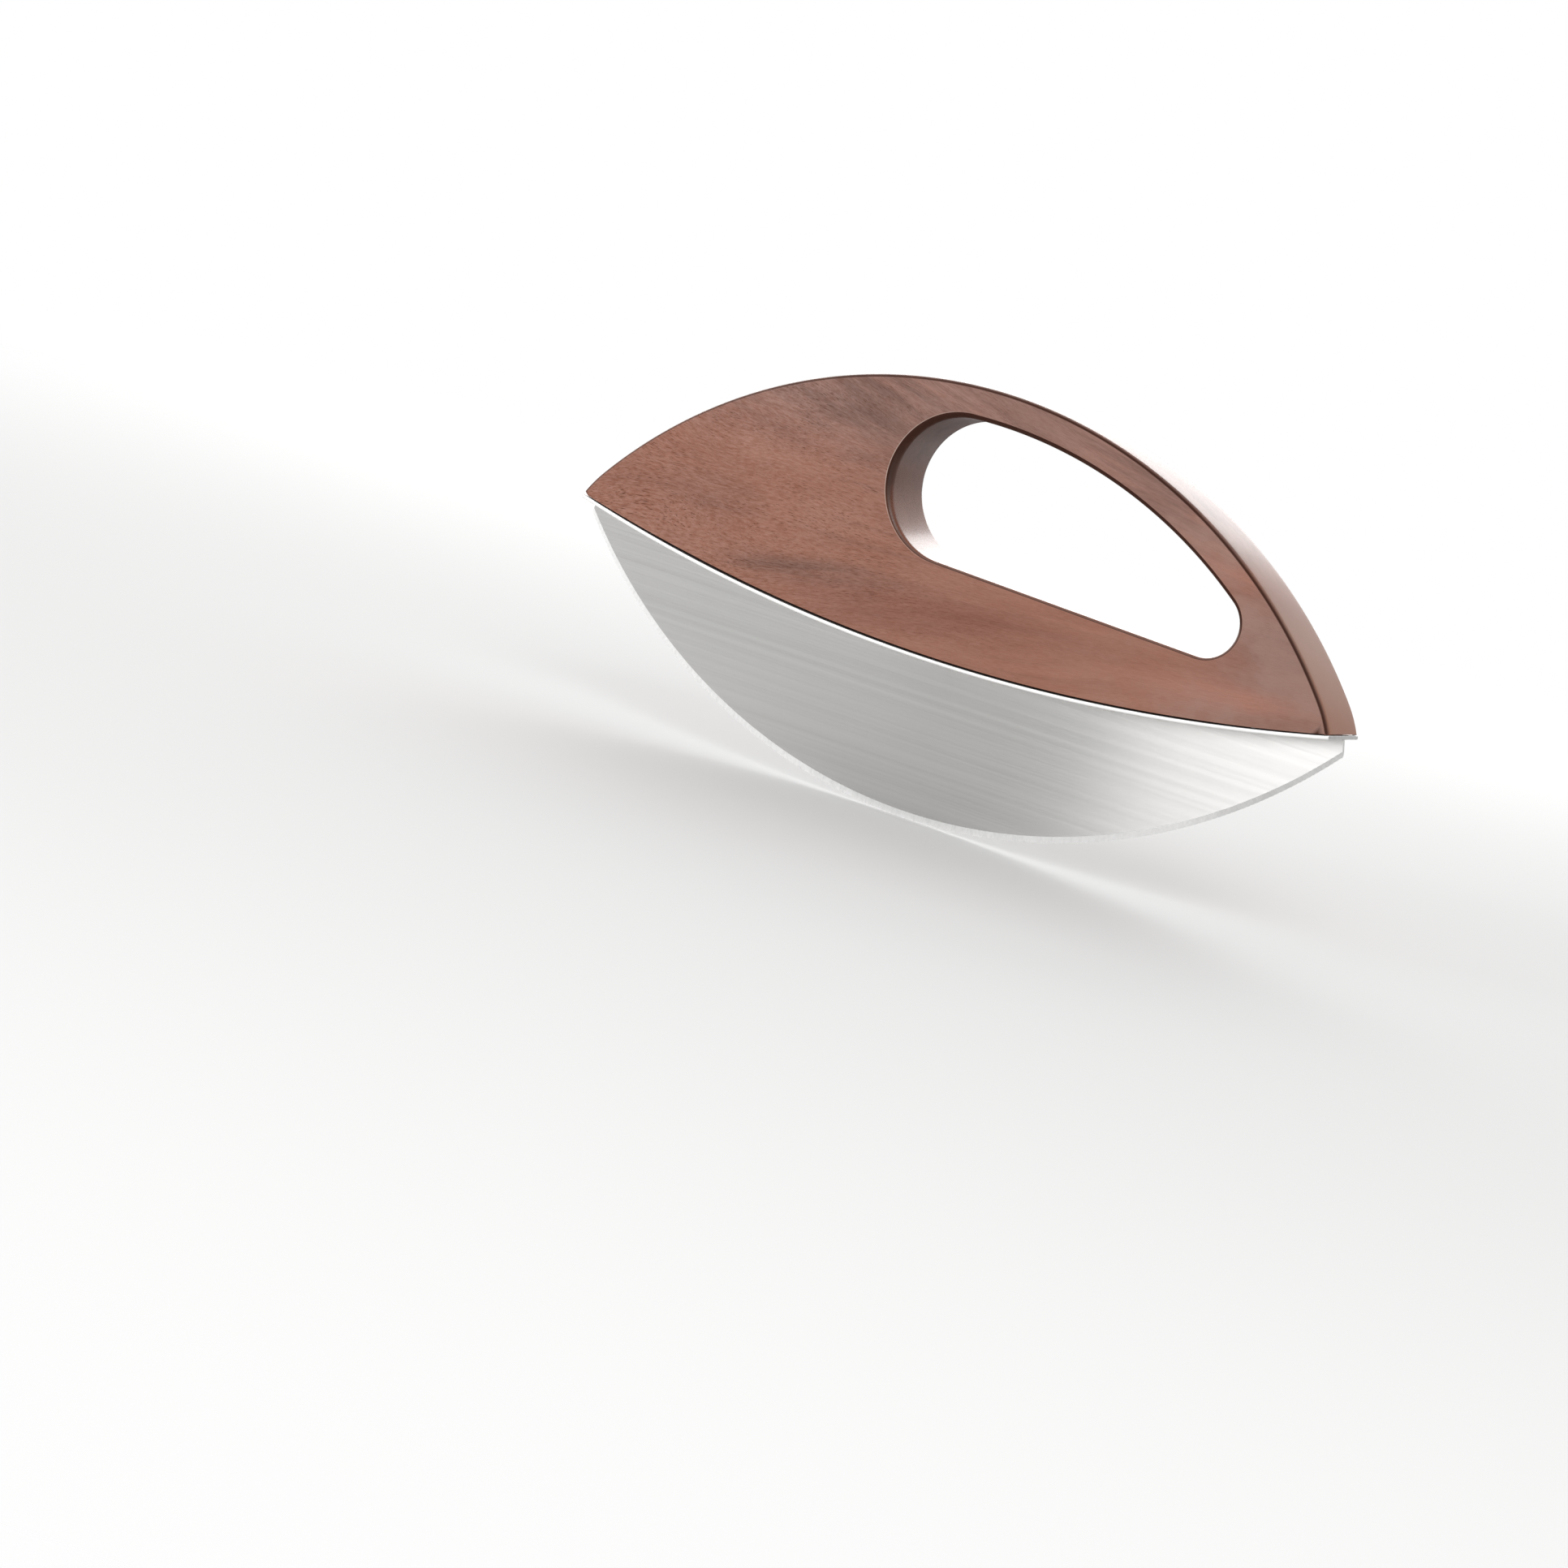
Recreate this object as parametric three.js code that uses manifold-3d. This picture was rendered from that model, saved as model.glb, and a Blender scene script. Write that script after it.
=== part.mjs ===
// Rocking knife: a curved steel blade under a steel spine strip, screwed to a wooden handle with a finger hole.
// Millimetres. Finished frame: +X along the length, -Y the front side, +Z up, origin under the cutting edge's
// lowest point. The pieces are drawn in side view (x along the length, y up, z towards the front) and the
// whole drawing is then turned upright.

import * as THREE from 'three';
import { mergeVertices, toCreasedNormals } from 'three/addons/utils/BufferGeometryUtils.js';
import Module from 'manifold-3d';

const wasm = await Module();
wasm.setup();

// Blade
const BLADE_LENGTH = 260;      // straight from end to end, where it meets the strip
const BLADE_DEPTH = 49.1;      // from the spine's underside to the cutting edge, in the middle
const BLADE_END_HEIGHT = 6.3;  // the same at the ends
const BLADE_THICKNESS = 1.4;
const CORNER_RADIUS = 1;       // where the blunt ends run into the cutting edge
const BEVEL_HEIGHT = 2;        // width of the ground band along the cutting edge
const EDGE_LAND = 0.2;         // thickness left at the very edge

// Spine strip
const SPINE_SAG = 15.3;        // how far the strip's middle hangs below its ends
const SPINE_THICKNESS = 1.2;

// Tabs that hold the blade in the strip
const TAB_COUNT = 4;
const TAB_LENGTH = 14;
const TAB_SETBACK = 42;        // from the blade's end to the first tab's middle

// Handle
const HANDLE_THICKNESS = 24;
const HANDLE_HEIGHT = 82.8;    // wood above the strip, in the middle
const TIP_HEIGHT = 1.8;        // blunt end of the wooden tips
const TIP_SETBACK = 0.5;       // the strip reaches this far past the wood
const OUTER_ROUND = 1.4;       // rounding of the handle's outer edges

// Finger hole
const GRIP_BAR = 10.2;         // wood between the hole and the crown
const BULB_SHELF = 28.2;       // wood under the hole's large end, above the strip's middle
const NOSE_SHELF = 25;         // wood under the hole's small end, above the strip's middle
const BULB_OFFSET = 5.2;       // large end's centre, left of the handle's middle
const NOSE_SETBACK = 46.2;     // small end's centre, from the handle's right tip
const HOLE_ROUND = 2;          // rounding of the hole's rims

// Countersunk wood screws, in pairs beside the blade
const SCREW_STATIONS = 3;
const SCREW_SETBACK = 25;      // from the strip's end to the first pair
const SCREW_DIAMETER = 3;
const SCREW_LENGTH = 16;
const SCREW_POINT = 3;         // length of the tapered point
const HEAD_DIAMETER = 5.6;
const RECESS_SPAN = 3;         // cross recess in the head
const RECESS_WIDTH = 0.8;
const RECESS_DEPTH = 0.8;

// Fits and drawing
const FIT = 0.3;               // gap left between neighbouring pieces
const OVERCUT = 1;             // how far a cut runs past the surface that it opens
const CHORD_ERROR = 0.03;      // how far the straight steps of an arc stray from it
const JOIN = 0.001;            // points closer than this are one point
const ROUND_STEPS = 3;         // steps across a rounded edge
const RING_STEPS = 180;        // steps round the bevel's full circle
const SCREW_SIDES = 16;
const CREASE = Math.PI / 6;    // edges sharper than this are shown as edges

// Colours and finishes
const WOOD = { color: 0x6b4033, roughness: 0.5, metalness: 0 };
const STEEL = { color: 0xc4c4c2, roughness: 0.34, metalness: 1 };
const BRIGHT_STEEL = { color: 0xd8d8d6, roughness: 0.22, metalness: 1 };

// Radius of an arc from half its chord and its rise
function arcRadius(halfChord, rise) {
  return (halfChord ** 2 + rise ** 2) / (2 * rise);
}

// Derived places in side view. The strip, the wood's seat and the blade's top edge share one centre.
const halfBlade = BLADE_LENGTH / 2;
const edgeRise = BLADE_DEPTH - BLADE_END_HEIGHT + SPINE_SAG;
const edgeRadius = arcRadius(halfBlade, edgeRise);
const spineBottomRadius = arcRadius(halfBlade, SPINE_SAG);
const spineCentreY = BLADE_DEPTH + spineBottomRadius;
const spineTopRadius = spineBottomRadius - SPINE_THICKNESS;
const seatRadius = spineTopRadius - FIT;
const bladeTopRadius = spineBottomRadius + FIT;
const spineWidth = HANDLE_THICKNESS;
const spineEndAngle = spineAngle(halfBlade);

const halfHandle = halfBlade - TIP_SETBACK;
const seatMiddleY = spineCentreY - seatRadius;
const seatTipY = spineCentreY - Math.sqrt(seatRadius ** 2 - halfHandle ** 2);
const crownTopY = seatMiddleY + HANDLE_HEIGHT;
const crownTipY = seatTipY + TIP_HEIGHT;
const crownRadius = arcRadius(halfHandle, crownTopY - crownTipY);
const crownCentreY = crownTopY - crownRadius;
const crownTipAngle = Math.atan2(crownTipY - crownCentreY, halfHandle);

const screwZ = (BLADE_THICKNESS + spineWidth) / 4;
const headHeight = (HEAD_DIAMETER - SCREW_DIAMETER) / 2;

// A closed geometry as a solid that can be joined and cut
function toSolid(geometry) {
  const bare = geometry.clone();
  bare.deleteAttribute('normal');
  bare.deleteAttribute('uv');
  const merged = mergeVertices(bare);
  const vertProperties = new Float32Array(merged.attributes.position.array);
  const triVerts = new Uint32Array(merged.index.array);
  return new wasm.Manifold(new wasm.Mesh({ numProp: 3, vertProperties, triVerts }));
}

// A solid as a geometry that can be shown
function toGeometry(solid) {
  const { vertProperties, triVerts } = solid.getMesh();
  const geometry = new THREE.BufferGeometry();
  geometry.setAttribute('position', new THREE.BufferAttribute(vertProperties, 3));
  geometry.setIndex(new THREE.BufferAttribute(triVerts, 1));
  return toCreasedNormals(geometry, CREASE);
}

// Points along an arc from one angle to another
function arc(x, y, radius, from, to) {
  const step = 2 * Math.acos(1 - CHORD_ERROR / radius);
  const count = Math.ceil(Math.abs(to - from) / step);
  return Array.from({ length: count + 1 }, (_, i) => {
    const angle = from + ((to - from) * i) / count;
    return new THREE.Vector2(x + radius * Math.cos(angle), y + radius * Math.sin(angle));
  });
}

// One closed outline from runs of points that may share their end points
function outline(...runs) {
  const points = runs.flat();
  return points.filter((point, i) => point.distanceTo(points.at(i - 1)) > JOIN);
}

// Rectangle of the given half width between two heights
function rectangle(halfWidth, low, high) {
  const corners = [[-halfWidth, low], [halfWidth, low], [halfWidth, high], [-halfWidth, high]];
  return corners.map(([x, y]) => new THREE.Vector2(x, y));
}

// A flat outline as a plate of the given thickness about the middle plane, with rounded rims if asked
function plate(points, thickness, round = 0, hole = []) {
  const shape = new THREE.Shape(points);
  if (hole.length > 0) shape.holes.push(new THREE.Path(hole));
  const geometry = new THREE.ExtrudeGeometry(shape, {
    depth: thickness - 2 * round,
    bevelEnabled: round > 0,
    bevelThickness: round,
    bevelSize: round,
    bevelOffset: -round,
    bevelSegments: ROUND_STEPS,
  });
  return geometry.translate(0, 0, round - thickness / 2);
}

// Height of the spine family's arc of one radius at a place along the length
function spineY(radius, x) {
  return spineCentreY - Math.sqrt(radius ** 2 - x ** 2);
}

// Turn of the strip's normal at a place along its underside
function spineAngle(x) {
  return Math.asin(x / spineBottomRadius);
}

// Evenly spaced places along the blade, the first and last set back from its ends
function stations(count, setback) {
  const first = setback - halfBlade;
  const pitch = (BLADE_LENGTH - 2 * setback) / (count - 1);
  return Array.from({ length: count }, (_, i) => first + i * pitch);
}

// Part of an arc of the spine family, drawn from one place along the length to another
function spineArc(radius, fromX, toX) {
  const down = -Math.PI / 2;
  return arc(0, spineCentreY, radius, down + Math.asin(fromX / radius), down + Math.asin(toX / radius));
}

// Countersunk screw: head face at y = 0, point along +y. Clearance widens it all round for its cavity.
function screwGeometry(clearance = 0) {
  const shank = SCREW_DIAMETER / 2 + clearance;
  const head = HEAD_DIAMETER / 2 + clearance;
  const face = clearance > 0 ? -OVERCUT : 0;
  const profile = [
    new THREE.Vector2(0, face),
    new THREE.Vector2(head, face),
    new THREE.Vector2(head, 0),
    new THREE.Vector2(shank, headHeight),
    new THREE.Vector2(shank, SCREW_LENGTH - SCREW_POINT),
    new THREE.Vector2(0, SCREW_LENGTH + clearance),
  ];
  const distinct = profile.filter((p, i) => i === 0 || !p.equals(profile[i - 1]));
  return new THREE.LatheGeometry(distinct, SCREW_SIDES);
}

function makeScrewGeometry() {
  const depth = RECESS_DEPTH * 2;
  const along = toSolid(new THREE.BoxGeometry(RECESS_SPAN, depth, RECESS_WIDTH));
  const across = toSolid(new THREE.BoxGeometry(RECESS_WIDTH, depth, RECESS_SPAN));
  return toGeometry(toSolid(screwGeometry()).subtract(along.add(across)));
}

// Places of all screws: on the strip's underside, either side of the blade, square to the strip
const screwPlaces = stations(SCREW_STATIONS, SCREW_SETBACK).flatMap((x, i) =>
  [['front', 1], ['rear', -1]].map(([side, sign]) => ({
    name: `screw_${i + 1}_${side}`,
    position: new THREE.Vector3(x, spineY(spineBottomRadius, x), sign * screwZ),
    turn: spineAngle(x),
  })),
);

// All screw cavities as one solid
function screwCavities() {
  const cavities = screwPlaces.map(({ position, turn }) => {
    const geometry = screwGeometry(FIT).rotateZ(turn);
    return toSolid(geometry.translate(position.x, position.y, position.z));
  });
  return cavities.reduce((all, one) => all.add(one));
}

// One box per tab, from below the blade's top edge up to the strip's top face, grown by a clearance
function tabBoxes(clearance, top) {
  const bottom = bladeTopRadius + OVERCUT;
  const boxes = stations(TAB_COUNT, TAB_SETBACK).map((x) => {
    const size = [TAB_LENGTH + 2 * clearance, bottom - top, BLADE_THICKNESS + 2 * clearance];
    const geometry = new THREE.BoxGeometry(...size);
    geometry.translate(0, -(bottom + top) / 2, 0);
    geometry.rotateZ(spineAngle(x));
    return toSolid(geometry.translate(0, spineCentreY, 0));
  });
  return boxes.reduce((all, one) => all.add(one));
}

// Blade outline: top edge along the strip, blunt ends square to the strip, rounded corners, cutting arc
function bladeOutline() {
  const end = new THREE.Vector2(Math.sin(spineEndAngle), -Math.cos(spineEndAngle));
  const inward = new THREE.Vector2(end.y, -end.x);

  // The corner's centre, seen from the cutting arc's centre: down a line beside the end, as far as it touches
  const spineCentre = new THREE.Vector2(0, spineCentreY - edgeRadius);
  const start = spineCentre.addScaledVector(inward, CORNER_RADIUS);
  const along = start.dot(end);
  const reach = edgeRadius - CORNER_RADIUS;
  const drop = Math.sqrt(along ** 2 - start.lengthSq() + reach ** 2) - along;
  const corner = start.clone().addScaledVector(end, drop);

  const cornerTurn = corner.angle() - 2 * Math.PI;
  const cornerY = corner.y + edgeRadius;
  const topX = bladeTopRadius * Math.sin(spineEndAngle);
  return outline(
    spineArc(bladeTopRadius, -topX, topX),
    arc(corner.x, cornerY, CORNER_RADIUS, spineEndAngle, cornerTurn),
    arc(0, edgeRadius, edgeRadius, cornerTurn, -Math.PI - cornerTurn),
    arc(-corner.x, cornerY, CORNER_RADIUS, -Math.PI - cornerTurn, -Math.PI - spineEndAngle),
  );
}

// Ring that grinds the bevel on the front side of the blade
function bevelRing() {
  const half = BLADE_THICKNESS / 2;
  const slope = (half - EDGE_LAND / 2) / BEVEL_HEIGHT;
  const run = EDGE_LAND / 2 / slope;
  const inner = edgeRadius - BEVEL_HEIGHT - OVERCUT;
  const outer = edgeRadius + run;
  const high = half + slope * OVERCUT;
  const profile = [
    new THREE.Vector2(inner, high),
    new THREE.Vector2(outer, 0),
    new THREE.Vector2(outer, high),
    new THREE.Vector2(inner, high),
  ];
  const ring = new THREE.LatheGeometry(profile, RING_STEPS).rotateX(Math.PI / 2);
  return ring.translate(0, edgeRadius, 0);
}

function makeBlade() {
  const sheet = toSolid(plate(bladeOutline(), BLADE_THICKNESS)).add(tabBoxes(0, spineTopRadius));
  const front = bevelRing();
  const rear = front.clone().rotateY(Math.PI);
  return toGeometry(sheet.subtract(toSolid(front)).subtract(toSolid(rear)));
}

// Strip: a curved band, slotted for the tabs and countersunk for the screws
function makeSpine() {
  const topX = spineTopRadius * Math.sin(spineEndAngle);
  const band = outline(
    spineArc(spineBottomRadius, -halfBlade, halfBlade),
    spineArc(spineTopRadius, topX, -topX),
  );
  const slots = tabBoxes(FIT, spineTopRadius - OVERCUT);
  return toGeometry(toSolid(plate(band, spineWidth)).subtract(slots).subtract(screwCavities()));
}

// One rounded end of the finger hole: it touches the arc under the grip bar and stands on its shelf
function holeEnd(x, shelf) {
  const reach = crownRadius - GRIP_BAR;
  const shelfY = seatMiddleY + shelf - crownCentreY;
  const radius = (reach ** 2 - x ** 2 - shelfY ** 2) / (2 * (shelfY + reach));
  const y = crownCentreY + shelfY + radius;
  return { x, y, radius, turn: Math.atan2(y - crownCentreY, x) };
}

// Finger hole: straight lower edge, small right end, arc along the grip bar, large left end
function holeOutline() {
  const bulb = holeEnd(-BULB_OFFSET, BULB_SHELF);
  const nose = holeEnd(halfHandle - NOSE_SETBACK, NOSE_SHELF);
  const span = Math.hypot(nose.x - bulb.x, nose.y - bulb.y);
  const slant = Math.atan2(nose.y - bulb.y, nose.x - bulb.x);
  const lower = slant - Math.acos((bulb.radius - nose.radius) / span);
  return outline(
    arc(nose.x, nose.y, nose.radius, lower, nose.turn),
    arc(0, crownCentreY, crownRadius - GRIP_BAR, nose.turn, bulb.turn),
    arc(bulb.x, bulb.y, bulb.radius, bulb.turn, lower + 2 * Math.PI),
  );
}

// Handle: rounded outer edges, a finger hole with its own rounding, a curved seat and screw holes
function makeHandle() {
  const lowY = seatMiddleY - OUTER_ROUND - OVERCUT;
  const body = outline(
    [new THREE.Vector2(halfHandle, lowY)],
    arc(0, crownCentreY, crownRadius, crownTipAngle, Math.PI - crownTipAngle),
    [new THREE.Vector2(-halfHandle, lowY)],
  );

  const margin = HOLE_ROUND + OVERCUT;
  const frame = rectangle(halfHandle + margin, lowY - margin, crownTopY + margin);

  const wide = halfHandle + OVERCUT;
  const under = outline(
    [new THREE.Vector2(-wide, lowY - OVERCUT), new THREE.Vector2(wide, lowY - OVERCUT)],
    spineArc(seatRadius, wide, -wide),
  );

  const block = toSolid(plate(body, HANDLE_THICKNESS, OUTER_ROUND));
  const holed = block.intersect(toSolid(plate(frame, HANDLE_THICKNESS, HOLE_ROUND, holeOutline())));
  const seated = holed.subtract(toSolid(plate(under, HANDLE_THICKNESS + 2 * OVERCUT)));
  return toGeometry(seated.subtract(screwCavities()));
}

function piece(name, geometry, finish) {
  const mesh = new THREE.Mesh(geometry, new THREE.MeshStandardMaterial(finish));
  mesh.name = name;
  return mesh;
}

const sideView = new THREE.Group();
sideView.rotation.x = Math.PI / 2;
sideView.add(piece('handle', makeHandle(), WOOD));
sideView.add(piece('spine_strip', makeSpine(), STEEL));
sideView.add(piece('blade', makeBlade(), STEEL));

const screw = makeScrewGeometry();
for (const { name, position, turn } of screwPlaces) {
  const mesh = piece(name, screw, BRIGHT_STEEL);
  mesh.position.copy(position);
  mesh.rotation.z = turn;
  sideView.add(mesh);
}

const knife = new THREE.Group();
knife.add(sideView);

export default knife;
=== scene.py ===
"""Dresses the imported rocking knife: wooden handle, spine strip, blade and screws, on a pale floor.

Shapes are worked out in millimetres in the row frame: x along the length, y through the thickness with
the front at -y, z up from the cutting edge. Materials, floor, lamps and camera are in metres.
"""
import math

import bmesh
import bpy
from mathutils import Matrix, Vector


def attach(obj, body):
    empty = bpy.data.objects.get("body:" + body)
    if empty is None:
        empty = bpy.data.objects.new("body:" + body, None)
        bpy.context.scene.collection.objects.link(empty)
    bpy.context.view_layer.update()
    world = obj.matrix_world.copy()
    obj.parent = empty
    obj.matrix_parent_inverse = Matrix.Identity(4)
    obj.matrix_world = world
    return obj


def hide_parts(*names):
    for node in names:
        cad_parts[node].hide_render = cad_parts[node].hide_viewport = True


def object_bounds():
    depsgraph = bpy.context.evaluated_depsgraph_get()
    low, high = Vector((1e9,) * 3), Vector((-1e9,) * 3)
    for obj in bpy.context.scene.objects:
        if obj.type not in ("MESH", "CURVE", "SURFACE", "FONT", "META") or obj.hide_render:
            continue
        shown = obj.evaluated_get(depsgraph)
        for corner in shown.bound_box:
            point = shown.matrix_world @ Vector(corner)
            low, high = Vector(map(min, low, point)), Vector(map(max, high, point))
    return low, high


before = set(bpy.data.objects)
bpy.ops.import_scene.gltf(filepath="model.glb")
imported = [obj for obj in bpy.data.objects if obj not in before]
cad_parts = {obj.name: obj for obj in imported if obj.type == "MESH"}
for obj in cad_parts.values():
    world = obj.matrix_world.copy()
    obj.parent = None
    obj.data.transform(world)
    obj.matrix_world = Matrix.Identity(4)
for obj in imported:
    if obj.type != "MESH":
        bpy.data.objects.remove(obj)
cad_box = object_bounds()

MM = 0.001
MERGE_DISTANCE = 1e-5
SLIVER = 0.002

# Blade
BLADE_LENGTH = 260.0
BLADE_DEPTH = 49.1
BLADE_END_HEIGHT = 6.3
BLADE_THICKNESS = 1.4
BLADE_SHARP_ANGLE = 8
CORNER_RADIUS = 1.0
CORNER_STEPS = 8
BEVEL_MIDDLE = 2.1
BEVEL_END = 1.35
BEVEL_END_STEPS = 4
EDGE_LAND = 0.2
TOOTH_PITCH = 1.6
TOOTH_DEPTH = 0.12
TOOTH_SCALLOP = 0.05
TOOTH_RIDGE = 0.06
TOOTH_STEPS = 8
TOP_STEP_ANGLE = 0.004
WELD_GAP = 0.02

# Spine strip
SPINE_SAG = 15.3
SPINE_THICKNESS = 1.2
SPINE_SHARP_ANGLE = 40
SPINE_ROUND = 0.32
SPINE_ROUND_STEPS = 5
SPINE_MARGIN = 0.08
SPINE_CORNER = 0.7
SPINE_CORNER_STEPS = 8
SPINE_STEPS = 150
TAB_COUNT = 4
TAB_LENGTH = 14.0
TAB_SETBACK = 42.0
TAB_CLEARANCE = 0.04
SLOT_HEIGHT = 4

# Handle
HANDLE_THICKNESS = 24.0
HANDLE_HEIGHT = 82.8
HANDLE_SHARP_ANGLE = 40
TIP_HEIGHT = 1.8
TIP_SETBACK = 0.5
TIP_UNDERCUT = 0.8
TIP_DROP = (1.5, 1.1)
TIP_RUN = 6.0
SEAT_GAP = 0.3
OUTER_ROUND = 1.4
ROUND_STEPS = 10
CROWN_SPREAD = (1.0, 0.6)
CROWN_BARREL = 0.25
CROWN_ROWS = 4
CROWN_STEPS = 220
SEAT_ROUND = 0.15
SEAT_STEPS = 120
RELIEF_HEIGHT = 0.35
RELIEF_DEPTH = 1.2
RELIEF_SPREAD = (1.0, 0.3)
RELIEF_RUN = 0.16
FACE_MARGIN = 0.25
FACE_SEAT_MARGIN = 0.12

# Darkness of the outer edges, partly dark edge colour and partly painted shade: peak, fall towards the side,
# share at the left end and where that ends
EDGE_PEAK = 4.1
EDGE_FALL = 0.6
EDGE_LEFT_SHARE = 0.68
EDGE_LEFT_RUN = (-100, 30)
EDGE_TIP_TONE = 0.3

# Finger hole
GRIP_BAR = 10.2
BULB_SHELF = 28.2
NOSE_SHELF = 25.0
BULB_OFFSET = 5.2
NOSE_SETBACK = 46.2
HOLE_STEP = 0.9
RIM_RADIUS = 2.2
RIM_EXTRA = 0.8
RIM_LESS = 1.0
RIM_STEPS = 9
RIM_EDGE_ROW = RIM_STEPS + 1
RIM_CREASE = math.radians(20)
CREASE_TURN = 0.03
CREASE_WIDTH = 0.22
CREASE_ROWS = (0.6, 1.2)

# Painted shade on the hole's rim and wall, darker where they face down and on the hole's left, and their
# polish, by the way that they face
RIM_SHADE = 0.8
RIM_SHADE_LEAST = 0.75
RIM_SHADE_UP = 0.6
RIM_SHADE_LEFT = 0.3
RIM_RISE = 1.4
RIM_RISE_POWER = (0.5, 4.0)
WALL_SHADE = (0.25, 0.5)
WALL_SHADE_UP = 0.5
LOW_SLOPE = 1.4
LOW_START = 0.2
POLISH_SIDE = 0.45
POLISH_SLOPE = 0.8

# Screws
SCREW_STATIONS = 3
SCREW_SETBACK = 25.0
SCREW_DIAMETER = 3.0
SCREW_LENGTH = 16.0
SCREW_SHARP_ANGLE = 35
SCREW_SIDES = 32
SCREW_POINT = 3.0
SCREW_POINT_RADIUS = 0.15
SCREW_POINT_CUT = 0.05
SCREW_PITCH = 1.35
THREAD_DEPTH = 0.4
THREAD_HALF_WIDTH = 0.22
THREAD_STEPS = 110
THREAD_START = 1.3
NECK_SHARE = 0.92
NECK_LENGTH = 1.2
HEAD_DIAMETER = 5.6
HEAD_EDGE = [(0.0, 0.15), (0.04, 0.04), (0.14, 0.0)]
RECESS_SPAN = 3.0
RECESS_WIDTH = 0.8
RECESS_DEPTH = 1.1
RECESS_ABOVE = 0.5
RECESS_FLARE = 1.15
RECESS_TAPER = (0.4, 0.8)

# Screw holes
SCREW_CLEARANCE = 0.3
HEAD_CLEARANCE = 0.03
BORE_SIDES = 48
BORE_OUT = 1.0
BORE_SINK_LESS = 0.25
BORE_OVER = 0.5

# Wood
WOOD_DEEP = (0.256, 0.092, 0.052, 1)
WOOD_PALE = (0.324, 0.132, 0.082, 1)
WOOD_GREY = (0.225, 0.112, 0.086, 1)
WOOD_BLOTCH = (0.33, 0.19, 0.15, 1)
WOOD_STREAK = (0.112, 0.042, 0.025, 1)
WOOD_RED = (0.2, 0.06, 0.03, 1)
WOOD_PORE = (0.07, 0.021, 0.009, 1)
WOOD_SHADE = (0.15, 0.075, 0.055, 1)
WOOD_LIGHT = (0.36, 0.155, 0.105, 1)
# Dark of the rounded edges, partly painted shade, and of the painted shadow under the seat
WOOD_RIM_DARK_AND_SHADE = (0.036, 0.012, 0.007, 1)
# Pale colour of a painted highlight along the hole's crease
WOOD_CREASE_HIGHLIGHT = (0.55, 0.42, 0.36, 1)
# Pale colour of painted light on the crown's right end
WOOD_CROWN_LIGHT = (0.4, 0.205, 0.14, 1)
RIM_DARK_AND_SHADE_COVER = 0.95
CREASE_HIGHLIGHT_COVER = 0.6
CROWN_LIGHT_COVER = 0.8

# Grain: height of its straight fibre, how fast fibres close up along x, and their sway
GRAIN_LEVEL = 85.6 * MM
GRAIN_CLOSING = 5.8
GRAIN_SWAY = 0.012

# Noise scales along the grain and across it
SWAY_SCALE = (11, 30, 30)
TONE_SCALE = (14, 90, 90)
FIGURE_SCALE = (18, 150, 150)
BAND_SCALE = (7, 330, 330)
CLOUD_SCALE = (16, 160, 160)
FIBRE_SCALE = (330, 3300, 3300)
BLOTCH_SCALE = (45, 45, 65)
PORE_PATCH_SCALE = (35, 110, 110)

# Where each trait of the wood grows or fades: from and to, along x or up z
GREY_UP = (0.09, 0.12)
GREY_ALONG = (0.07, 0.115)
FIGURE_UP = (0.09, 0.115)
BAND_ALONG = (-0.02, 0.08)
FIBRE_ALONG = (-0.1, 0.06)
BLOTCH_ALONG = (0.03, 0.1)
PORE_ALONG = (-0.06, 0.07)
# Painted light on the crown's right end
CROWN_LIGHT_ALONG = (0.085, 0.115)
DULL_ALONG = (0.105, 0.132)

# How strongly the wood's traits show: a value, or from and to. Tints are powers for red, green and blue
GREY_COVER = (0.6, 0.9)
GREY_RIGHT_COVER = (0.0, 0.9)
FIGURE_TONE = (-0.4, 0.22)
FIGURE_TINT = (1.0, 1.15, 1.25)
CLOUD_COVER = (0.25, 1.0)
BAND_COVER = (0.35, 0.08)
FIBRE_SHARE = (1.0, 0.35)
FIBRE_TONE = 0.16
FIBRE_TINT = (1.0, 1.4, 1.75)
BLOTCH_COVER = (0.1, 0.6)
PORE_SIZE = (0.05, 0.3)
PORE_DARKEN = 1.4
PORE_COVER = (0.9, 0.2)

# Gloss of the wood. Bumps have a strength and a height
SIDE_FACING = (0.5, 0.9)
WOOD_ROUGHNESS = (0.38, 0.48)
RIM_ROUGHNESS = (0.3, 0.75)
CROWN_SMOOTHER = 0.1
POLISH_SMOOTHER = 0.05
RIM_SHINE = (0.5, 0.1)
FIBRE_SHINE = 0.55
PORE_DULL = 0.9
END_DULL = 0.85
FIBRE_BUMP = (0.05, 0.0002)
PORE_BUMP = (0.15, 0.0001)

# Streaks: place and half length along x, level and half width across the grain, strength and colour
STREAKS = [
    ((-44, 46), (-15, 5.2), 0.85, WOOD_STREAK),
    ((-86, 26), (-5, 6.5), 0.4, WOOD_STREAK),
    ((-6, 78), (-22, 11.0), 1.05, WOOD_RED),
    ((-42, 28), (25.6, 3.4), 0.4, WOOD_STREAK),
    ((6, 34), (47, 7.0), 0.4, WOOD_SHADE),
    ((110, 26), (0, 16.0), 0.6, WOOD_SHADE),
    ((94, 44), (-32, 13.0), 0.9, WOOD_LIGHT),
    ((92, 26), (27, 10.0), 0.9, WOOD_LIGHT),
]

# Pores: spacing along and across the grain, and a seed
PORES = [(6.0, 0.27, 0.0), (4.6, 0.21, 3.7), (3.4, 0.17, 7.1)]

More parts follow.
